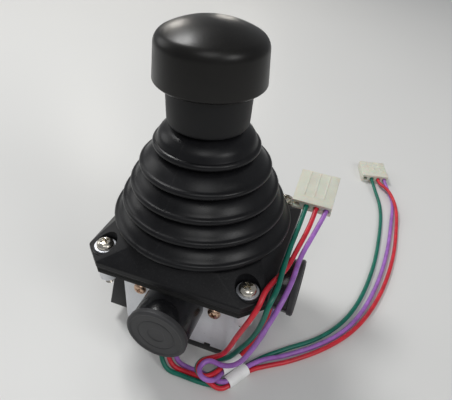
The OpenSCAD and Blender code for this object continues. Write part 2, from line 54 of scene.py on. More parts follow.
EYE = (0.05951, -0.16024, 0.14796)
AZIMUTH, ELEVATION, ROLL = 16.569, 37.012, 5.162      # degrees
LENS = 35.783
SHIFT = (-0.0048, 0.0021)


def place_camera():
    """Above the front right corner, rolled slightly to the left."""
    azimuth, elevation, roll = (math.radians(a) for a in (AZIMUTH, ELEVATION, ROLL))
    back = Vector((math.sin(azimuth) * math.cos(elevation),
                   -math.cos(azimuth) * math.cos(elevation), math.sin(elevation)))
    level = Vector((0, 0, 1)).cross(back).normalized()
    upright = back.cross(level)
    right = math.cos(roll) * level + math.sin(roll) * upright
    up = math.cos(roll) * upright - math.sin(roll) * level
    lens = bpy.data.cameras.new("view_lens")
    lens.sensor_width = 36
    lens.lens = LENS
    lens.shift_x, lens.shift_y = SHIFT
    lens.clip_start = 0.01
    camera = bpy.data.objects.new("view", lens)
    camera.matrix_world = Matrix((
        (right.x, up.x, back.x, EYE[0]),
        (right.y, up.y, back.y, EYE[1]),
        (right.z, up.z, back.z, EYE[2]),
        (0, 0, 0, 1)))
    scene.collection.objects.link(camera)
    scene.camera = camera


place_camera()


# ------------------------------------------------------------ wires

WIRE = 0.0024            # across the insulation
HANDLE = 0.36            # length of a curve's handles, as a share of the gap between points
STEP = 0.0009            # most room between two points of a finished path
EVEN_ROUNDS = 40         # each evens corners out and gives the lost size back
SOFTEN_ROUNDS = 8        # each only evens corners out
SWEEP_ROUNDS = 150       # the same, for the long sweep over the table
SWEEP_START = 0.056      # x past which the sweep begins
SWEEP_END = 0.128        # y at which it ends
SWEEP_FADE = 0.02        # room in which it comes in and goes out
ROUTES = {
    ("front", "green"): [
        (-3, -41, -31), (-3, -41, -40), (-2, -44, -48), (2.5, -46.9, -52.3),
        (9, -47.1, -52.7), (17, -47.2, -52.7), (21.5, -47, -52.7),
        (25.8, -46.4, -52.7), (29.2, -45.2, -52.3), (31.2, -43.1, -51.6),
        (37.4, -32.5, -51.6), (43.8, -23.2, -52.5), (55, -12.2, -52.7),
        (70, 1.3, -52.7), (83, 23, -52.7), (91.3, 60, -52.7), (93.4, 100, -52.7),
        (91.3, 136, -52.7), (84.1, 160.2, -50.9), (81.4, 170.4, -50.7),
        (80.7, 173.3, -50.7)],
    ("front", "red"): [
        (0, -41, -31), (0, -41, -40), (1.5, -43, -48.3), (4.5, -44.4, -52),
        (9.5, -44.6, -52.7), (17, -44.8, -52), (21.2, -45.6, -50.3),
        (25.8, -47.4, -50.2), (30.3, -47.5, -51.6), (33.4, -44.3, -51.6),
        (39.6, -33.7, -51.6), (46.5, -27.2, -52.6), (58, -19, -52.7),
        (74.5, -3.5, -52.7), (88, 16, -52.7), (98.5, 47, -52.7), (104, 85, -52.7),
        (104.2, 118, -52.5), (102.6, 134, -50.4), (99.2, 148.5, -50.1),
        (94.2, 159.5, -50.1), (87.4, 167.4, -50.7), (86.3, 171.7, -50.7),
        (85.6, 174.6, -50.7)],
    ("front", "purple"): [
        (3, -41, -31), (3, -41, -40), (4.5, -41.2, -48.3), (7, -41.8, -52),
        (11, -42, -52.7), (17, -42.4, -52.4), (21.2, -43, -51.2), (25.2, -44.4, -50.7),
        (29, -45.3, -49.4), (32.3, -43.7, -49.5), (38.5, -33.1, -49.5),
        (44.8, -25.3, -50.6), (54, -17.5, -52.7), (70.5, -3.2, -52.7),
        (84, 14.8, -52.7), (94.2, 46, -52.7), (99.6, 85, -52.7), (100.4, 124, -52.7),
        (100, 145, -52.7), (97.2, 156.5, -52.5), (92.9, 166.5, -50.7),
        (91.3, 172.9, -50.7), (90.5, 175.8, -50.7)],
    ("right", "green"): [
        (41, 0, -31), (41, 0, -40), (40.2, -4, -47.6), (38, -10.5, -51.2),
        (35, -21.5, -51.6), (32.6, -28.4, -51.6), (26.3, -39.1, -49.6),
        (23.6, -44.6, -47.6), (20, -46.9, -47.2), (16.6, -44.4, -46.9),
        (17.2, -40, -46.4), (21.5, -37.2, -45.4), (28.8, -37, -42.2),
        (34.6, -35.9, -32.7), (39.8, -36.8, -20), (42.9, -37.6, -7),
        (44.2, -36.6, 3.2), (45.5, -29, 6.6), (45.2, -22, 7.6), (44.7, -3, 7),
        (45.2, 14, 8.6), (45.5, 26, 11.3), (45.5, 28.9, 12.1)],
    ("right", "red"): [
        (41, -3, -31), (41, -3, -38), (40.3, -6.5, -44.5), (38.5, -12.5, -48),
        (36.1, -21.5, -49.4), (33.7, -29, -49.5), (27.4, -39.7, -47.5),
        (25.6, -45, -45.4), (21.6, -48.4, -44.8), (17.9, -46, -44.4),
        (18.3, -41.5, -43.9), (22.4, -39.1, -42.2), (28, -39.2, -35.5),
        (33.8, -40.6, -17), (38, -41.7, -3.5), (40.5, -38.5, 3.3), (41, -33.5, 6.3),
        (42.7, -27, 6.9), (44.2, -20, 4.6), (46.2, -12, 4), (47.5, -2, 4.6),
        (49.8, 14, 7.8), (50.6, 26, 11.3), (50.6, 28.9, 12.1)],
    ("right", "purple"): [
        (41, 3, -31), (41, 3, -41), (41.6, -1, -49.5), (40.9, -9, -51.9),
        (37.4, -22, -51.6), (34.8, -29.6, -51.6), (28.5, -40.3, -49.6),
        (28, -45.6, -46.6), (24.8, -50.2, -43.3), (20.4, -49.6, -42),
        (19.3, -45, -41.5), (22.6, -41.9, -40.4), (28.5, -42.8, -39.8),
        (35.2, -41, -37.4), (40.5, -38.3, -27), (44.3, -36.9, -13), (48.3, -32, 0.5),
        (50, -20, 3.6), (50.4, -4, 4.2), (53.4, 14, 7.2), (55.7, 26, 11.3),
        (55.7, 28.9, 12.1)],
}


def sweep_share(place):
    """A point's share of the easing: half in the long sweep, none near a fitting."""
    leaving = min(1, max(0, (place.x - SWEEP_START) / SWEEP_FADE))
    arriving = min(1, max(0, (SWEEP_END - place.y) / SWEEP_FADE))
    return leaving * arriving / 2


def smooth_path(points):
    """Points every millimetre or less along a route, with its corners relaxed."""
    places = [Vector(p) * MM for p in points]
    last = len(places) - 1
    headings = [(places[min(i + 1, last)] - places[max(i - 1, 0)]).normalized()
                for i in range(len(places))]
    path = [places[0]]
    for i in range(len(places) - 1):
        near, far = places[i], places[i + 1]
        reach = (far - near).length * HANDLE
        count = max(2, math.ceil((far - near).length / STEP) + 1)
        path += interpolate_bezier(near, near + headings[i] * reach,
                                   far - headings[i + 1] * reach, far, count)[1:]
    for _ in range(EVEN_ROUNDS):
        for share in (0.5, -0.52):
            path[1:-1] = [b + ((a + c) / 2 - b) * share
                          for a, b, c in zip(path, path[1:], path[2:])]
    for _ in range(SOFTEN_ROUNDS):
        path[1:-1] = [(a + 2 * b + c) / 4 for a, b, c in zip(path, path[1:], path[2:])]
    for _ in range(SWEEP_ROUNDS):
        path[1:-1] = [b + ((a + c) / 2 - b) * sweep_share(b)
                      for a, b, c in zip(path, path[1:], path[2:])]
    for place in path:
        place.z = max(place.z, FLOOR_Z + WIRE / 2)
    return path


def lay_wire(name, path, node):
    """One insulated wire: a round tube along its path."""
    curve = bpy.data.curves.new(name, "CURVE")
    curve.dimensions = "3D"
    curve.bevel_depth = WIRE / 2
    curve.bevel_resolution = 4
    curve.use_fill_caps = True
    spline = curve.splines.new("POLY")
    spline.points.add(len(path) - 1)
    for spot, place in zip(spline.points, path):
        spot.co = (*place, 1)
    wire = bpy.data.objects.new(name, curve)
    scene.collection.objects.link(wire)
    bpy.ops.object.select_all(action="DESELECT")
    wire.select_set(True)
    bpy.context.view_layer.objects.active = wire
    bpy.ops.object.convert(target="MESH")
    bpy.ops.object.shade_smooth_by_angle(angle=math.radians(60))
    wire = bpy.context.object
    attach(wire, "base")
    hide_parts(node)
    return wire


paths = {key: smooth_path(points) for key, points in ROUTES.items()}
wires = {(side, colour): lay_wire(f"{side}_lead_{colour}", path, f"{side}_wire_{colour}")
         for (side, colour), path in paths.items()}
bpy.ops.object.select_all(action="DESELECT")


# ------------------------------------------------------------ finishes

def value_node(tree, kind, **settings):
    """A node with its plain settings and the default values of its inputs."""
    node = tree.nodes.new(kind)
    for key, value in settings.items():
        if key in node.inputs:
            node.inputs[key].default_value = value
        else:
            setattr(node, key, value)
    return node


def new_group(name, inputs, outputs):
    """A shader node group with named sockets, and its two end nodes."""
    group = bpy.data.node_groups.new(name, "ShaderNodeTree")
    for label, kind, default in inputs:
        socket = group.interface.new_socket(label, in_out="INPUT", socket_type=kind)
        if default is not None:
            socket.default_value = default
    for label, kind in outputs:
        group.interface.new_socket(label, in_out="OUTPUT", socket_type=kind)
    return group, group.nodes.new("NodeGroupInput"), group.nodes.new("NodeGroupOutput")


def moulded_grain_group():
    """Fine spark-eroded grain and broad, faint handling marks."""
    group, start, end = new_group(
        "moulded_grain",
        [("Place", "NodeSocketVector", None), ("Fineness", "NodeSocketFloat", 1800.0),
         ("Mark Scale", "NodeSocketFloat", 90.0)],
        [("Height", "NodeSocketFloat"), ("Marks", "NodeSocketFloat")])
    link = group.links.new
    fine = value_node(group, "ShaderNodeTexNoise", Detail=3.0, Roughness=0.6)
    broad = value_node(group, "ShaderNodeTexNoise", Detail=4.0, Roughness=0.55)
    link(start.outputs["Place"], fine.inputs["Vector"])
    link(start.outputs["Place"], broad.inputs["Vector"])
    link(start.outputs["Fineness"], fine.inputs["Scale"])
    link(start.outputs["Mark Scale"], broad.inputs["Scale"])
    spread = value_node(group, "ShaderNodeMapRange", **{"From Min": 0.32, "From Max": 0.68})
    link(broad.outputs["Fac"], spread.inputs["Value"])
    link(fine.outputs["Fac"], end.inputs["Height"])
    link(spread.outputs["Result"], end.inputs["Marks"])
    return group


def dust_group():
    """Pale dust that settles in patches on faces that look up."""
    group, start, end = new_group(
        "settled_dust",
        [("Place", "NodeSocketVector", None), ("Amount", "NodeSocketFloat", 0.1)],
        [("Mask", "NodeSocketFloat")])
    link = group.links.new
    normal = value_node(group, "ShaderNodeNewGeometry")
    parts = value_node(group, "ShaderNodeSeparateXYZ")
    upward = value_node(group, "ShaderNodeMapRange", **{"From Min": 0.2, "From Max": 1.0})
    specks = value_node(group, "ShaderNodeTexNoise", Scale=1400.0, Detail=5.0,
                        Roughness=0.75)
    keep = value_node(group, "ShaderNodeMapRange", **{"From Min": 0.52, "From Max": 0.72})
    both = value_node(group, "ShaderNodeMath", operation="MULTIPLY")
    scaled = value_node(group, "ShaderNodeMath", operation="MULTIPLY")
    link(normal.outputs["Normal"], parts.inputs["Vector"])
    link(parts.outputs["Z"], upward.inputs["Value"])
    link(start.outputs["Place"], specks.inputs["Vector"])
    link(specks.outputs["Fac"], keep.inputs["Value"])
    link(upward.outputs["Result"], both.inputs[0])
    link(keep.outputs["Result"], both.inputs[1])
    link(both.outputs[0], scaled.inputs[0])
    link(start.outputs["Amount"], scaled.inputs[1])
    link(scaled.outputs[0], end.inputs["Mask"])
    return group


def cast_skin_group():
    """Pitted, blotched skin of a die casting or a plated part."""
    group, start, end = new_group(
        "cast_skin",
        [("Place", "NodeSocketVector", None), ("Pit Scale", "NodeSocketFloat", 900.0),
         ("Blotch Scale", "NodeSocketFloat", 160.0)],
        [("Height", "NodeSocketFloat"), ("Blotches", "NodeSocketFloat"),
         ("Pits", "NodeSocketFloat")])
    link = group.links.new
    cells = value_node(group, "ShaderNodeTexVoronoi", Randomness=1.0)
    grain = value_node(group, "ShaderNodeTexNoise", Detail=6.0, Roughness=0.7)
    blotch = value_node(group, "ShaderNodeTexNoise", Detail=5.0, Roughness=0.65)
    pits = value_node(group, "ShaderNodeMapRange", **{"From Min": 0.62, "From Max": 0.74})
    total = value_node(group, "ShaderNodeMath", operation="SUBTRACT")
    for node in (cells, grain, blotch):
        link(start.outputs["Place"], node.inputs["Vector"])
    link(start.outputs["Pit Scale"], cells.inputs["Scale"])
    link(start.outputs["Pit Scale"], grain.inputs["Scale"])
    link(start.outputs["Blotch Scale"], blotch.inputs["Scale"])
    link(grain.outputs["Fac"], pits.inputs["Value"])
    link(cells.outputs["Distance"], total.inputs[0])
    link(pits.outputs["Result"], total.inputs[1])
    link(total.outputs[0], end.inputs["Height"])
    link(blotch.outputs["Fac"], end.inputs["Blotches"])
    link(pits.outputs["Result"], end.inputs["Pits"])
    return group


def parting_line_group():
    """A thin raised line down the front where two mould halves met."""
    group, start, end = new_group(
        "parting_line",
        [("Place", "NodeSocketVector", None), ("Across", "NodeSocketVector", (1, 0, 0)),
         ("Width", "NodeSocketFloat", 0.0004)],
        [("Ridge", "NodeSocketFloat")])
    link = group.links.new
    offset = value_node(group, "ShaderNodeVectorMath", operation="DOT_PRODUCT")
    size = value_node(group, "ShaderNodeMath", operation="ABSOLUTE")
    share = value_node(group, "ShaderNodeMath", operation="DIVIDE")
    ridge = value_node(group, "ShaderNodeMath", operation="SUBTRACT", use_clamp=True)
    ridge.inputs[0].default_value = 1.0
    link(start.outputs["Place"], offset.inputs[0])
    link(start.outputs["Across"], offset.inputs[1])
    link(offset.outputs["Value"], size.inputs[0])
    link(size.outputs[0], share.inputs[0])
    link(start.outputs["Width"], share.inputs[1])
    link(share.outputs[0], ridge.inputs[1])
    link(ridge.outputs[0], end.inputs["Ridge"])
    return group


MOULDED_GRAIN = moulded_grain_group()
SETTLED_DUST = dust_group()
CAST_SKIN = cast_skin_group()
PARTING_LINE = parting_line_group()


def start_finish(name):
    """A new material, its tree, shader and object coordinates."""
    material = bpy.data.materials.new(name)
    material.use_nodes = True
    tree = material.node_tree
    shader = tree.nodes["Principled BSDF"]
    place = tree.nodes.new("ShaderNodeTexCoord").outputs["Object"]
    return material, tree, shader, place


def use_group(tree, group, place, **values):
    """An effect placed in a material with its own values."""
    node = tree.nodes.new("ShaderNodeGroup")
    node.node_tree = group
    tree.links.new(place, node.inputs["Place"])
    for label, value in values.items():
        node.inputs[label.replace("_", " ")].default_value = value
    return node


def mix_colours(tree, factor, first, second):
    """Mixes two colours by a socket; a colour is a socket or three numbers."""
    mix = value_node(tree, "ShaderNodeMix", data_type="RGBA")
    tree.links.new(factor, mix.inputs["Factor"])
    for index, colour in ((6, first), (7, second)):
        if isinstance(colour, bpy.types.NodeSocket):
            tree.links.new(colour, mix.inputs[index])
        else:
            mix.inputs[index].default_value = (*colour, 1)
    return mix.outputs[2]


def range_of(tree, value, low, high):
    """Maps a mask from 0..1 to low..high."""
    node = value_node(tree, "ShaderNodeMapRange", **{"To Min": low, "To Max": high})
    tree.links.new(value, node.inputs["Value"])
    return node.outputs["Result"]


def bump(tree, shader, height, distance):
    """Feeds a height, raised by a distance in metres, to the shader's normal."""
    node = value_node(tree, "ShaderNodeBump", Strength=1.0, Distance=distance)
    tree.links.new(height, node.inputs["Height"])
    tree.links.new(node.outputs["Normal"], shader.inputs["Normal"])


def moulded(name, colour, rough, fineness=1800.0, depth=0.00002, marks=0.08, dust=0.1,
            mark_scale=90.0, wear=1.5, dust_colour=(0.42, 0.41, 0.39), line=None,
            **shader_values):
    """Moulded plastic or rubber: grain, handling marks and a little dust."""
    material, tree, shader, place = start_finish(name)
    link = tree.links.new
    grain = use_group(tree, MOULDED_GRAIN, place, Fineness=fineness, Mark_Scale=mark_scale)
    settled = use_group(tree, SETTLED_DUST, place, Amount=dust)
    lighter = tuple(min(1.0, c * wear) for c in colour)
    worn = mix_colours(tree, grain.outputs["Marks"], colour, lighter)
    dusty = mix_colours(tree, settled.outputs["Mask"], worn, dust_colour)
    link(dusty, shader.inputs["Base Color"])
    link(range_of(tree, grain.outputs["Marks"], rough - marks / 2, rough + marks / 2),
         shader.inputs["Roughness"])
    height = grain.outputs["Height"]
    if line:
        seam = use_group(tree, PARTING_LINE, place, Across=line)
        total = value_node(tree, "ShaderNodeMath", operation="MULTIPLY_ADD")
        total.inputs[1].default_value = SEAM_HEIGHT
        link(seam.outputs["Ridge"], total.inputs[0])
        link(height, total.inputs[2])
        height = total.outputs[0]
    bump(tree, shader, height, depth)
    for label, value in shader_values.items():
        shader.inputs[label.replace("_", " ")].default_value = value
    return material


def metal(name, colour, rough, dark, metallic=1.0, pit_scale=900.0, blotch_scale=160.0,
          depth=0.00003, spread=0.16, pitting=0.5, **shader_values):
    """Cast, plated or turned metal with blotches and dark pits."""
    material, tree, shader, place = start_finish(name)
    link = tree.links.new
    skin = use_group(tree, CAST_SKIN, place, Pit_Scale=pit_scale, Blotch_Scale=blotch_scale)
    blotched = range_of(tree, skin.outputs["Blotches"], 0.0, 0.55)
    pocked = range_of(tree, skin.outputs["Pits"], 0.0, pitting)
    toned = mix_colours(tree, blotched, colour, dark)
    pitted = mix_colours(tree, pocked, toned, tuple(c * 0.35 for c in dark))
    link(pitted, shader.inputs["Base Color"])
    link(range_of(tree, skin.outputs["Blotches"], rough - spread, rough + spread),
         shader.inputs["Roughness"])
    bump(tree, shader, skin.outputs["Height"], depth)
    shader.inputs["Metallic"].default_value = metallic
    for label, value in shader_values.items():
        shader.inputs[label.replace("_", " ")].default_value = value
    return material


SEAM_HEIGHT = 2.8        # of the parting line, in heights of the grain
MOULD_SEAM = (math.cos(math.radians(9)), -math.sin(math.radians(9)), 0)
FINISH = {
    "bezel_black": moulded("bezel_black", (0.0065, 0.0065, 0.0075), 0.42, fineness=1500.0,
                           depth=0.00005, marks=0.12, dust=0.05, Specular_IOR_Level=0.22),
    "cover_black": moulded("cover_black", (0.006, 0.006, 0.007), 0.4, fineness=1700.0,
                           depth=0.00004, dust=0.04, Specular_IOR_Level=0.22),
    "barrel_black": moulded("barrel_black", (0.006, 0.006, 0.007), 0.2, fineness=900.0,
                            depth=0.00001, marks=0.1, dust=0.03, Specular_IOR_Level=0.4),
    "cap_grey": moulded("cap_grey", (0.032, 0.032, 0.034), 0.5, fineness=2200.0,
                        depth=0.00003, marks=0.1, dust=0.03, Specular_IOR_Level=0.35),
    "gaiter_rubber": moulded("gaiter_rubber", (0.006, 0.006, 0.007), 0.33, fineness=1300.0,
                             depth=0.00002, marks=0.14, dust=0.03, line=MOULD_SEAM,
                             Specular_IOR_Level=0.26),
    "gasket_rubber": moulded("gasket_rubber", (0.01, 0.01, 0.01), 0.7, dust=0.02,
                             Specular_IOR_Level=0.25),
    "knob_black": moulded("knob_black", (0.006, 0.0055, 0.005), 0.33, fineness=2400.0,
                          depth=0.000012, marks=0.1, mark_scale=70.0, dust=0.03,
                          Specular_IOR_Level=0.28),
    "neck_black": moulded("neck_black", (0.007, 0.007, 0.0075), 0.5, fineness=2400.0,
                          depth=0.00002, marks=0.1, dust=0.03, Specular_IOR_Level=0.25),
    "cast_zinc": metal("cast_zinc", (0.9, 0.91, 0.94), 0.45, (0.6, 0.62, 0.66),
                       metallic=0.14, pit_scale=700.0, blotch_scale=120.0, depth=0.00006),
    "screw_steel": metal("screw_steel", (0.74, 0.7, 0.62), 0.25, (0.42, 0.39, 0.34),
                         pit_scale=1500.0, blotch_scale=420.0, depth=0.000012, spread=0.08,
                         pitting=0.4),
    "washer_zinc": metal("washer_zinc", (0.6, 0.61, 0.64), 0.42, (0.55, 0.57, 0.62),
                         metallic=0.8, pit_scale=1600.0, blotch_scale=300.0, depth=0.00001,
                         spread=0.1, pitting=0.2),
    "turned_steel": metal("turned_steel", (0.66, 0.66, 0.66), 0.28, (0.45, 0.45, 0.45),
                          pit_scale=1500.0, blotch_scale=200.0, depth=0.00001, spread=0.08,
                          pitting=0.2),
    "bush_bronze": metal("bush_bronze", (0.72, 0.5, 0.24), 0.35, (0.45, 0.3, 0.14),
                         pit_scale=1100.0, depth=0.00002),
    "copper_plating": metal("copper_plating", (0.78, 0.55, 0.4), 0.26, (0.2, 0.1, 0.06),
                            pit_scale=800.0, blotch_scale=520.0, depth=0.00003, spread=0.1,
                            pitting=0.8),
    "terminal_tin": metal("terminal_tin", (0.72, 0.72, 0.7), 0.3, (0.5, 0.5, 0.48),
                          pit_scale=1400.0, depth=0.00001, pitting=0.3),
    "track_board": moulded("track_board", (0.17, 0.09, 0.04), 0.45, fineness=900.0,
                           dust=0.0),
    "housing_nylon": moulded("housing_nylon", (0.66, 0.655, 0.56), 0.4, fineness=700.0,
                             depth=0.00001, marks=0.06, mark_scale=160.0, wear=1.08,
                             dust=0.0, dust_colour=(0.9, 0.9, 0.86),
                             Subsurface_Weight=0.2, Subsurface_Scale=0.004,
                             Specular_IOR_Level=0.35),
    "wiper_nylon": moulded("wiper_nylon", (0.8, 0.8, 0.76), 0.4, dust=0.0),
    "sleeve_white": moulded("sleeve_white", (0.8, 0.8, 0.79), 0.55, fineness=1600.0,
                            depth=0.00004, marks=0.1, dust=0.0),
    "wire_green": moulded("wire_green", (0.0, 0.115, 0.078), 0.36, fineness=1200.0,
                          depth=0.000015, marks=0.12, mark_scale=220.0, dust=0.0),
    "wire_red": moulded("wire_red", (0.5, 0.016, 0.03), 0.34, fineness=1200.0,
                        depth=0.000015, marks=0.12, mark_scale=220.0, dust=0.0),
    "wire_purple": moulded("wire_purple", (0.29, 0.115, 0.42), 0.34, fineness=1200.0,
                           depth=0.000015, marks=0.12, mark_scale=220.0, dust=0.0),
}


def put_finish(piece, finish):
    piece.data.materials.clear()
    piece.data.materials.append(FINISH[finish])


for (side, colour), wire in wires.items():
    put_finish(wire, f"wire_{colour}")


# ------------------------------------------------------------ modelling

AXES = {
    "up": (Vector((0, 0, 0)), Vector((1, 0, 0)), Vector((0, 0, 1))),
    "front": (Vector((0, 0, PIVOT_Z)), Vector((1, 0, 0)), Vector((0, -1, 0))),
    "right": (Vector((0, 0, PIVOT_Z)), Vector((0, 1, 0)), Vector((1, 0, 0))),
}


def eased(points, size, steps=3):
    """The outline with each inner corner rounded; sizes in millimetres."""
    soft = [Vector(points[0])]
    for before, corner, after in zip(points, points[1:], points[2:]):
        before, corner, after = Vector(before), Vector(corner), Vector(after)
        reach = min(size, (before - corner).length * 0.45, (after - corner).length * 0.45)
        start = corner + (before - corner).normalized() * reach
        end = corner + (after - corner).normalized() * reach
        for i in range(steps + 1):
            t = i / steps
            soft.append(start * (1 - t) ** 2 + corner * 2 * t * (1 - t) + end * t * t)
    return soft + [Vector(points[-1])]


def start_piece(name):
    piece = bpy.context.object
    piece.name = piece.data.name = name
    return piece


def turned(name, outline, axis="up", steps=96):
    """Spins an outline of (radius, distance along the axis) points, in millimetres."""
    origin, out, along = AXES[axis]
    points = [(out * p[0] + along * p[1]) * MM for p in outline]
    bpy.ops.object.select_all(action="DESELECT")
    bpy.ops.mesh.primitive_plane_add(size=MM, location=origin)
    piece = start_piece(name)
    bpy.ops.object.mode_set(mode="EDIT")
    bpy.ops.mesh.select_mode(type="VERT")
    bpy.ops.mesh.select_all(action="SELECT")
    bpy.ops.mesh.merge(type="CENTER")
    bpy.ops.transform.translate(value=points[0])
    for before, after in zip(points, points[1:]):
        bpy.ops.mesh.extrude_vertices_move(TRANSFORM_OT_translate={"value": after - before})
    bpy.ops.mesh.select_all(action="SELECT")
    bpy.ops.mesh.spin(steps=steps, angle=2 * math.pi, center=origin, axis=along)
    bpy.ops.mesh.select_all(action="SELECT")
    bpy.ops.mesh.remove_doubles(threshold=1e-6)
    bpy.ops.mesh.normals_make_consistent(inside=False)
    bpy.ops.object.mode_set(mode="OBJECT")
    bpy.ops.object.transform_apply(location=True, rotation=True, scale=True)
    bpy.ops.object.shade_smooth_by_angle(angle=math.radians(40))
    return piece


def only(piece):
    """Selects one piece alone and makes it the active one."""
    bpy.ops.object.select_all(action="DESELECT")
    piece.select_set(True)
    bpy.context.view_layer.objects.active = piece


def add_box(name, low, high):
    """A block between two corners in millimetres, with its place in its mesh."""
    low, high = Vector(low) * MM, Vector(high) * MM
    bpy.ops.object.select_all(action="DESELECT")
    bpy.ops.mesh.primitive_cube_add(size=1, location=(low + high) / 2, scale=high - low)
    piece = start_piece(name)
    bpy.ops.object.transform_apply(location=True, rotation=True, scale=True)
    return piece


def add_rod(name, radius, low, high, place=(0, 0), sides=48):
    """An upright rod, in millimetres."""
    bpy.ops.object.select_all(action="DESELECT")
    bpy.ops.mesh.primitive_cylinder_add(
        vertices=sides, radius=radius * MM, depth=(high - low) * MM,
        location=(place[0] * MM, place[1] * MM, (low + high) / 2 * MM))
    piece = start_piece(name)
    bpy.ops.object.transform_apply(location=True, rotation=True, scale=True)
    return piece


def boolean(piece, tools, operation="DIFFERENCE"):
    """Cuts pieces out of another or welds them on, and removes the tools."""
    for tool in tools:
        only(piece)
        change = piece.modifiers.new("shape", "BOOLEAN")
        change.operation = operation
        change.solver = "EXACT"
        change.object = tool
        bpy.ops.object.modifier_apply(modifier=change.name)
        bpy.data.objects.remove(tool)


def cleaned(piece, gap):
    """Merges points closer than a gap in millimetres and drops what collapses."""
    only(piece)
    bpy.ops.object.mode_set(mode="EDIT")
    bpy.ops.mesh.select_all(action="SELECT")
    bpy.ops.mesh.remove_doubles(threshold=gap * MM)
    bpy.ops.mesh.dissolve_degenerate(threshold=gap * MM)
    bpy.ops.object.mode_set(mode="OBJECT")


def break_edges(piece, width, angle=32):
    """Rounds every sharp edge by a width in millimetres."""
    cleaned(piece, 0.02)
    soften = piece.modifiers.new("edges", "BEVEL")
    soften.width = width * MM
    soften.segments = 2
    soften.limit_method = "ANGLE"
    soften.angle_limit = math.radians(angle)
    bpy.ops.object.modifier_apply(modifier=soften.name)
    cleaned(piece, 0.01)
    bpy.ops.object.shade_smooth_by_angle(angle=math.radians(40))


def finished(piece, body, node, finish):
    """Hands a piece over: it rides, stands for its node and has its finish."""
    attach(piece, body)
    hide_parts(node)
    put_finish(piece, finish)
    return piece


def edged_copy(name, node, width, body, finish, angle=32):
    """A part's own shape with its edges broken."""
    piece = bpy.data.objects.new(name, nodes[node].data.copy())
    scene.collection.objects.link(piece)
    only(piece)
    bpy.ops.object.mode_set(mode="EDIT")
    bpy.ops.mesh.select_all(action="SELECT")
    bpy.ops.mesh.remove_doubles(threshold=1e-6)
    bpy.ops.mesh.dissolve_limited(angle_limit=math.radians(0.5))
    bpy.ops.object.mode_set(mode="OBJECT")
    break_edges(piece, width, angle=angle)
    return finished(piece, body, node, finish)


# ------------------------------------------------------------ knob and neck

NECK_R = 18.1
NECK_WALL = 2.2
NECK_HOLE_R = 9.6
KNOB_R = 23.3
KNOB_Z = 78.0
KNOB_TOP = 102.4
KNOB_SHOULDER_R = 22.41
KNOB_EDGE = 5.8
CROWN_R = 41.0


def knob_outline():
    """From the recess round the rim, up the skirt and over the crown."""
    reach = KNOB_SHOULDER_R - KNOB_EDGE
    middle = KNOB_TOP - CROWN_R + math.sqrt((CROWN_R - KNOB_EDGE) ** 2 - reach ** 2)
    meet = math.atan2(middle - KNOB_TOP + CROWN_R, reach)
    recess = NECK_R + 0.05
    rim = eased([(0, KNOB_Z + 5), (recess, KNOB_Z + 5), (recess, KNOB_Z + 0.1),
                 (KNOB_R - 1.3, KNOB_Z), (KNOB_R - 0.1, KNOB_Z + 1.1),
                 (KNOB_SHOULDER_R, middle)], 0.5)
    shoulder = [(reach + KNOB_EDGE * math.cos(a), middle + KNOB_EDGE * math.sin(a))
                for a in (meet * i / 10 for i in range(1, 11))]
    crown = [(CROWN_R * math.cos(a), KNOB_TOP - CROWN_R + CROWN_R * math.sin(a))
             for a in (meet + (math.pi / 2 - meet) * i / 12 for i in range(1, 12))]
    return rim + shoulder + crown + [(0, KNOB_TOP)]


def neck_outline():
    """A slightly tapered skirt, open below, whose top goes into the knob."""
    low = NECK_R - 0.5
    return eased([
        (low - NECK_WALL, 62.5), (low - NECK_WALL, 60.6), (low - 0.5, 60.6), (low, 62.4),
        (NECK_R, KNOB_Z - 0.6), (NECK_R, KNOB_Z + 4.9), (NECK_HOLE_R, KNOB_Z + 4.9),
        (NECK_HOLE_R, KNOB_Z + 2.6), (NECK_R - NECK_WALL, KNOB_Z + 2.6),
        (low - NECK_WALL, 62.5)], 0.7)


finished(turned("mushroom_knob", knob_outline(), steps=128), "lever", "knob",
         "knob_black")
finished(turned("neck_skirt", neck_outline(), steps=128), "lever", "neck_sleeve",
         "neck_black")


# ------------------------------------------------------------ gaiter

# outer radius and height of each roll
BEADS = [(41.9, 14.2), (37.7, 23), (33.7, 31.9), (29.5, 41.5), (23.6, 51.2)]
BEAD_R = 1.6
TUCK = 4.2               # how far in from a roll its groove lies
FALL = 3                 # and how far below it
HOLLOW = 0.35            # from a roll to the skin above it
WALL = 1.2
FOOT_R = 37.4
SPLIT = 2                # the roll whose groove parts the two halves


def bead_arc(bead):
    """The roll along a fold's lower edge, from below to its top."""
    return [(bead[0] + BEAD_R * (math.cos(a) - 1), bead[1] + BEAD_R * math.sin(a))
            for a in (math.radians(-85 + 17 * i) for i in range(11))]


def groove(bead):
    """The bottom of the groove under a roll."""
    return (bead[0] - TUCK, bead[1] - FALL)


def swell(bead, end):
    """The skin from a roll, over a shallow hollow, up to the next groove."""
    start = (bead[0] - BEAD_R - HOLLOW, bead[1] + BEAD_R + HOLLOW)
    return [(start[0] + (end[0] - start[0]) * f,
             start[1] + (end[1] - start[1]) * f + math.sin(math.pi * f))
            for f in (0, 0.12, 0.25, 0.4, 0.55, 0.7, 0.82, 0.92)]


def gaiter_half(name, outer):
    """One half of the bellows as a closed wall."""
    piece = turned(name, outer, steps=128)
    only(piece)
    wall = piece.modifiers.new("wall", "SOLIDIFY")
    wall.thickness = WALL * MM
    wall.offset = -1
    bpy.ops.object.modifier_apply(modifier=wall.name)
    bpy.ops.object.shade_smooth_by_angle(angle=math.radians(50))
    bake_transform(piece)
    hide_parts("gaiter")
    put_finish(piece, "gaiter_rubber")


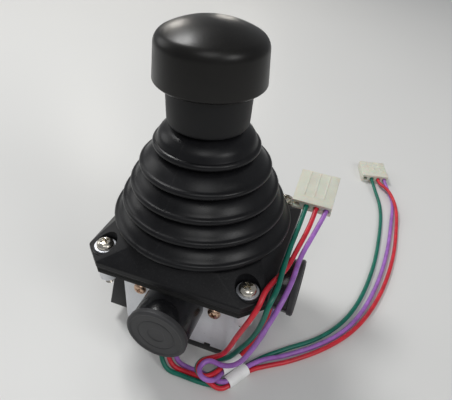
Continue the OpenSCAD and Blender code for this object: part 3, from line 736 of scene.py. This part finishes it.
def make_gaiter():
    """Lower half from the bezel's opening, upper half to inside the neck skirt."""
    lower = [(FOOT_R, 0.3), (FOOT_R, 6), (FOOT_R, 11.4)]
    for i in range(SPLIT):
        lower += bead_arc(BEADS[i]) + swell(BEADS[i], groove(BEADS[i + 1]))
        lower.append(groove(BEADS[i + 1]))
    upper = [groove(BEADS[SPLIT])]
    for i in range(SPLIT, 4):
        upper += bead_arc(BEADS[i]) + swell(BEADS[i], groove(BEADS[i + 1]))
        upper.append(groove(BEADS[i + 1]))
    upper += bead_arc(BEADS[4])
    upper += [(21.7, 53.6), (21.3, 54.9), (20.1, 56.7), (17.6, 58.3), (15.2, 59.2),
              (14.1, 59.9), (13.6, 61), (13.6, 66.9)]
    gaiter_half("gaiter_lower", lower)
    gaiter_half("gaiter_upper", upper)


make_gaiter()


# ------------------------------------------------------------ bezel and its screws

BEZEL_HALF = 43.0
BEZEL_CUT = 9.3          # across each cut corner
BEZEL_EDGE = 3.0         # height of the upright edge
COLLAR_Z = 11.0
COLLAR_R = 40.5
FACET_FALL = 3.6         # how far in a face leans over its rise to the collar
OPENING_R = 37.7
LIP_R = 40.3             # recess underneath for the gaiter's flange
WELL_R = 5.7             # screw wells
SEAT_Z = 4.6
HOLE_R = 2.25
WASHER_Z = 4.62
HEAD_Z = 5.6
SCREW_XY = [(x, y) for x in (-34, 34) for y in (-34, 34)]


def cut_corners(block, cut):
    """Bevels a block's four upright edges flat."""
    only(block)
    mesh = block.data
    bpy.ops.object.mode_set(mode="EDIT")
    bpy.ops.mesh.select_mode(type="EDGE")
    bpy.ops.mesh.select_all(action="DESELECT")
    bpy.ops.object.mode_set(mode="OBJECT")
    for edge in mesh.edges:
        a, b = (mesh.vertices[i].co for i in edge.vertices)
        edge.select = (a.xy - b.xy).length < 1e-6
    bpy.ops.object.mode_set(mode="EDIT")
    bpy.ops.mesh.bevel(offset=cut * MM, segments=1)
    bpy.ops.object.mode_set(mode="OBJECT")


def make_bezel():
    """Block with cut corners, hulled with its collar, then bored and counterbored."""
    block = add_box("bezel_moulding", (-BEZEL_HALF, -BEZEL_HALF, 0),
                    (BEZEL_HALF, BEZEL_HALF, BEZEL_EDGE))
    cut_corners(block, BEZEL_CUT)
    bpy.ops.object.mode_set(mode="EDIT")
    bpy.ops.mesh.primitive_circle_add(vertices=96, radius=COLLAR_R * MM,
                                      location=(0, 0, COLLAR_Z * MM))
    bpy.ops.mesh.select_all(action="SELECT")
    bpy.ops.mesh.convex_hull()
    for turn in range(4):
        side = Matrix.Rotation(turn * math.pi / 2, 3, "Z")
        bpy.ops.mesh.select_all(action="SELECT")
        edge = Vector((0, -BEZEL_HALF, BEZEL_EDGE))
        slope = Vector((0, -(COLLAR_Z - BEZEL_EDGE), FACET_FALL))
        bpy.ops.mesh.bisect(plane_co=side @ edge * MM, plane_no=side @ slope,
                            use_fill=True, clear_outer=True)
    bpy.ops.mesh.select_all(action="SELECT")
    bpy.ops.mesh.dissolve_limited(angle_limit=math.radians(0.3))
    bpy.ops.object.mode_set(mode="OBJECT")
    break_edges(block, 0.45, angle=20)
    pads = [add_rod("pad", WELL_R, 0, SEAT_Z, xy) for xy in SCREW_XY]
    boolean(block, pads, "UNION")
    cuts = [add_rod("opening", OPENING_R, -1, 12, sides=96),
            add_rod("lip", LIP_R, -1, 1.6, sides=96)]
    cuts += [add_rod("counterbore", WELL_R, SEAT_Z, 12, xy) for xy in SCREW_XY]
    cuts += [add_rod("hole", HOLE_R, -1, 6, xy) for xy in SCREW_XY]
    boolean(block, cuts)
    cleaned(block, 0.02)
    bpy.ops.object.shade_smooth_by_angle(angle=math.radians(7))
    finished(block, "base", "bezel", "bezel_black")


make_bezel()


THREAD_PITCH = 0.7
RECESS_LONG, RECESS_WIDE = 0.62, 0.15      # the cross recess, as shares of the head


def pan_head(name, head_r, head_h, thread_r, length):
    """A cross-recessed pan-head screw standing on its seat at the origin."""
    shares = ((0, 1), (0.3, 0.985), (0.6, 0.9), (0.83, 0.7), (0.96, 0.42), (1, 0.16),
              (0.97, 0))
    dome = [(head_r * out, head_h * up) for out, up in shares] + [(thread_r, 0)]
    turns = int(length / THREAD_PITCH)
    thread = []
    for i in range(turns):
        z = -length * i / turns - 0.3
        thread += [(thread_r * 0.86, z), (thread_r, z - length / turns * 0.5)]
    tip = [(thread_r * 0.8, -length), (0, -length)]
    screw = turned(name, eased(dome, 0.12, steps=2) + thread + tip, steps=48)
    arms = []
    long, wide = head_r * RECESS_LONG, head_r * RECESS_WIDE
    for x, y in ((long, wide), (wide, long)):
        arm = add_box("arm", (-x, -y, head_h * 0.3), (x, y, head_h + 0.4))
        only(arm)
        bpy.ops.object.mode_set(mode="EDIT")
        bpy.ops.mesh.select_mode(type="FACE")
        bpy.ops.mesh.select_all(action="DESELECT")
        bpy.ops.object.mode_set(mode="OBJECT")
        for face in arm.data.polygons:
            face.select = face.normal.z < -0.5
        bpy.ops.object.mode_set(mode="EDIT")
        bpy.ops.transform.resize(value=(0.6, 0.6, 1))
        bpy.ops.object.mode_set(mode="OBJECT")
        arms.append(arm)
    boolean(screw, arms)
    cleaned(screw, 0.01)
    bpy.ops.object.shade_smooth_by_angle(angle=math.radians(35))
    return screw


def copy_at(pattern, name, matrix):
    """A copy with its own mesh, moved in its mesh."""
    piece = bpy.data.objects.new(name, pattern.data.copy())
    piece.data.transform(matrix)
    scene.collection.objects.link(piece)
    return piece


def make_panel_screws():
    pattern = pan_head("screw_pattern", 4.0, 2.8, 2.0, 23.1)
    for i, (x, y) in enumerate(SCREW_XY, 1):
        turn = Matrix.Rotation(math.radians(20 + 37 * i), 4, "Z")
        screw = copy_at(pattern, f"panel_screw_{i}",
                        Matrix.Translation((x * MM, y * MM, HEAD_Z * MM)) @ turn)
        finished(screw, "base", "bezel_screws", "screw_steel")
    bpy.data.objects.remove(pattern)
    section = [(3, 0), (4.95, 0), (4.95, 0.95), (2.2, 0.95), (2.2, 0), (3, 0)]
    ring = turned("washer_pattern", eased(section, 0.2), steps=64)
    for i, (x, y) in enumerate(SCREW_XY, 1):
        washer = copy_at(ring, f"panel_washer_{i}",
                         Matrix.Translation((x * MM, y * MM, WASHER_Z * MM)))
        finished(washer, "base", "bezel_washers", "washer_zinc")
    bpy.data.objects.remove(ring)


make_panel_screws()


# ------------------------------------------------------------ pods

POD_R = 13.7
CAP_R = 14.5
REACH = 53.0
CAP_T = 3.0
POD_WALL = 1.5
CLAMP_OFFSET = 19.2
# the opening in the underside that the wires leave by
SLOT_HALF = 4.8
SLOT_NEAR, SLOT_FAR = 39, 43
SLOT_LOW, SLOT_HIGH = -35, -29.6


def housing_outline(start):
    """A cup from its floor against the body to the cap."""
    end = REACH - CAP_T
    return eased([(8, start), (POD_R, start), (POD_R, end), (POD_R - POD_WALL, end),
                  (POD_R - POD_WALL, start + 2), (8, start + 2), (8, start)], 0.25)


def cap_outline():
    """A disc with a raised rim, a ring groove and a shallow middle."""
    return eased([
        (0, REACH - CAP_T), (CAP_R - 0.2, REACH - CAP_T), (CAP_R, REACH - 0.7),
        (CAP_R - 0.8, REACH), (CAP_R - 1.7, REACH), (CAP_R - 2.3, REACH - 0.5),
        (CAP_R * 0.625, REACH - 0.5), (CAP_R * 0.6, REACH - 0.85),
        (CAP_R * 0.565, REACH - 0.5), (CAP_R * 0.29, REACH - 0.5),
        (CAP_R * 0.265, REACH - 0.8), (0, REACH - 0.8)], 0.28)


def clamp_places(axis, start):
    """Where a pod's two clamp screws stand, and how they point."""
    for s in (-1, 1):
        if axis == "front":
            yield (Matrix.Translation((s * CLAMP_OFFSET * MM, -start * MM, PIVOT_Z))
                   @ Matrix.Rotation(math.radians(90), 4, "X"))
        else:
            yield (Matrix.Translation((start * MM, s * CLAMP_OFFSET * MM, PIVOT_Z))
                   @ Matrix.Rotation(math.radians(90), 4, "Y"))


def make_pods():
    clamp = pan_head("clamp_pattern", 3.2, 2.0, 1.5, 6)
    for side, start in (("front", 31), ("right", 30)):
        barrel = turned(f"{side}_pod_barrel", housing_outline(start), side, steps=112)
        if side == "front":
            slot = add_box("slot", (-SLOT_HALF, -SLOT_FAR, SLOT_LOW),
                           (SLOT_HALF, -SLOT_NEAR, SLOT_HIGH))
        else:
            slot = add_box("slot", (SLOT_NEAR, -SLOT_HALF, SLOT_LOW),
                           (SLOT_FAR, SLOT_HALF, SLOT_HIGH))
        boolean(barrel, [slot])
        bpy.ops.object.shade_smooth_by_angle(angle=math.radians(35))
        finished(barrel, "base", f"{side}_pod_housing",
                 "barrel_black")
        cap = turned(f"{side}_pod_end", cap_outline(), side, steps=112)
        finished(cap, "base", f"{side}_pod_cap", "cap_grey")
        for i, place in enumerate(clamp_places(side, start), 1):
            turn = Matrix.Rotation(math.radians(15 + 50 * i), 4, "Z")
            screw = copy_at(clamp, f"{side}_clamp_screw_{i}", place @ turn)
            finished(screw, "base", f"{side}_clamp_screws",
                     "copper_plating")
    bpy.data.objects.remove(clamp)


make_pods()


# ------------------------------------------------------------ body and covers

edged_copy("zinc_body", "casting", 0.3, "base", "cast_zinc")
edged_copy("bottom_cover", "base_cover", 0.35, "base", "cover_black",
           angle=40)
for name, node in (("left_spring_cover", "side_cover"),
                   ("rear_spring_cover", "rear_cover")):
    edged_copy(name, node, 0.4, "base", "cover_black", angle=20)


SEAL_HALF = 42.4
SEAL_CUT = 9.0
SEAL_T = 1.5
SEAL_DEEP = 3.7          # to the foot of its lip


def make_gasket():
    """Flat seal whose lip turns down over the edge of the body's flange."""
    def slab(name, half, low, high):
        return add_box(name, (-half, -half, low), (half, half, high))

    seal = slab("bezel_gasket", SEAL_HALF, -SEAL_DEEP, 0)
    hollow = slab("hollow", SEAL_HALF - 0.8, -SEAL_DEEP - 1, -SEAL_T)
    cut_corners(seal, SEAL_CUT)
    cut_corners(hollow, SEAL_CUT)
    line = slab("line", SEAL_HALF + 2.6, -SEAL_T - 0.25, -SEAL_T + 0.05)
    keep = slab("keep", SEAL_HALF - 0.3, -5, 5)
    cut_corners(keep, SEAL_CUT)
    boolean(line, [keep])
    boolean(seal, [hollow, line, add_rod("bore", 35, -5, 5, sides=96)])
    boolean(seal, [add_rod("hole", HOLE_R, -5, 5, xy) for xy in SCREW_XY])
    break_edges(seal, 0.15)
    finished(seal, "base", "gasket", "gasket_rubber")


make_gasket()


# ------------------------------------------------------------ connectors

PITCH = 5.08             # between two ways
PLUG_LONG = 22
PLUG_THICK = 6.6
WAY_HALF = 1.7
ENTRY_R = 1.6            # where a wire goes in


def make_connector(side, at, turn, rise, cross_ribs):
    """Four-way housing, wires in at -Y, with thin ribs between the ways."""
    long, top = PLUG_LONG, PLUG_THICK / 2
    left = -1.5 * PITCH
    right = left + 4 * PITCH
    shell = add_box(f"{side}_plug", (left, 0, -top), (right, long, top - 0.3))
    ribs = [add_box("rib", (left + PITCH * i - 0.35, 5, 0),
                    (left + PITCH * i + 0.35, long - 0.6, top)) for i in (1, 2, 3)]
    ribs.append(add_box("band", (left, 0, 0), (right, 3.2, top)))
    ribs += [add_box("band", (left + 0.5, y, 0), (right - 0.5, y + 1.5, top))
             for y in cross_ribs]
    boolean(shell, ribs, "UNION")
    cuts = []
    for i in range(4):
        middle = left + (i + 0.5) * PITCH
        cuts.append(add_box("way", (middle - WAY_HALF, 7, -1.9),
                            (middle + WAY_HALF, long + 1, 1.9)))
        bpy.ops.object.select_all(action="DESELECT")
        bpy.ops.mesh.primitive_cylinder_add(
            vertices=32, radius=ENTRY_R * MM, depth=10 * MM,
            location=(middle * MM, 4 * MM, 0), rotation=(math.radians(90), 0, 0))
        entry = start_piece("entry")
        bpy.ops.object.transform_apply(location=True, rotation=True, scale=True)
        cuts.append(entry)
    boolean(shell, cuts)
    break_edges(shell, 0.22)
    shell.data.transform(Matrix.Translation(Vector(at) * MM)
                         @ Matrix.Rotation(math.radians(turn), 4, "Z")
                         @ Matrix.Rotation(math.radians(rise), 4, "X"))
    finished(shell, "base", f"{side}_connector", "housing_nylon")
    return shell


plugs = {
    "right": make_connector("right", (45.5, 26, 11.3), 0, 15, ()),
    "front": make_connector("front", (81.4, 170.4, -50.7), 14, 0, (8, 12.5, 17)),
}


# ------------------------------------------------------------ finishes of the other parts

INNER_PARTS = {
    "turned_steel": ("gaiter_clip", "jam_nut", "lever_rod", "lever_pin", "cradle_spring",
                     "yoke_spring"),
    "cast_zinc": ("lever_hub", "cradle", "yoke"),
    "bush_bronze": ("knob_insert", "bushes"),
    "cover_black": ("boot_hub",),
    "screw_steel": ("base_screws",),
    "track_board": ("front_track", "right_track"),
    "wiper_nylon": ("front_wiper", "right_wiper"),
    "terminal_tin": ("front_terminals", "right_terminals"),
    "sleeve_white": ("front_sleeve", "right_sleeve"),
}
for finish, parts in INNER_PARTS.items():
    for part in parts:
        put_finish(nodes[part], finish)


# ------------------------------------------------------------ stage and light

def make_floor():
    """A plain pale table."""
    material, tree, shader, place = start_finish("table_white")
    haze = value_node(tree, "ShaderNodeTexNoise", Scale=3.0, Detail=2.0)
    tree.links.new(place, haze.inputs["Vector"])
    pale = mix_colours(tree, haze.outputs["Fac"], (0.7, 0.7, 0.69), (0.75, 0.75, 0.74))
    tree.links.new(pale, shader.inputs["Base Color"])
    shader.inputs["Roughness"].default_value = 0.4
    shader.inputs["Specular IOR Level"].default_value = 0.2
    bpy.ops.object.select_all(action="DESELECT")
    bpy.ops.mesh.primitive_plane_add(size=6, location=(0, 0, FLOOR_Z))
    floor = start_piece("stage_floor")
    floor.data.materials.append(material)


WARM, PLAIN = (1, 0.95, 0.87), (1, 1, 0.99)
AIM = Vector((0, 0, 0.04))
# name, place, power, size, colour
LAMPS = [
    ("lamp_high_left", (-0.62, 0.36, 1.05), 7.0, 0.36, PLAIN),
    ("lamp_front", (0.24, -0.78, 1.15), 3.4, 0.7, PLAIN),
    ("lamp_behind_left", (-0.58, 0.72, 0.43), 0.85, 0.13, WARM),
    ("lamp_behind", (-0.27, 0.93, 0.22), 0.26, 0.1, WARM),
    ("lamp_left", (-0.95, 0.12, 0.42), 1.1, 0.5, PLAIN),
    ("lamp_right", (0.78, -0.36, 0.64), 2.2, 0.4, PLAIN),
]


def add_lamp(name, place, power, size, colour):
    """A round soft lamp aimed at the gaiter."""
    lamp = bpy.data.lights.new(name, "AREA")
    lamp.color = colour
    lamp.shape = "DISK"
    lamp.size = size
    lamp.energy = power
    holder = bpy.data.objects.new(name, lamp)
    holder.location = place
    holder.rotation_euler = (Vector(place) - AIM).to_track_quat("Z", "Y").to_euler()
    scene.collection.objects.link(holder)


def light_studio():
    world = bpy.data.worlds.new("studio")
    world.use_nodes = True
    sky = world.node_tree.nodes["Background"]
    sky.inputs["Color"].default_value = (0.95, 0.97, 1.0, 1)
    sky.inputs["Strength"].default_value = 0.26
    scene.world = world
    for lamp in LAMPS:
        add_lamp(*lamp)


make_floor()
light_studio()
scene.view_settings.view_transform = "Standard"

bpy.context.view_layer.update()
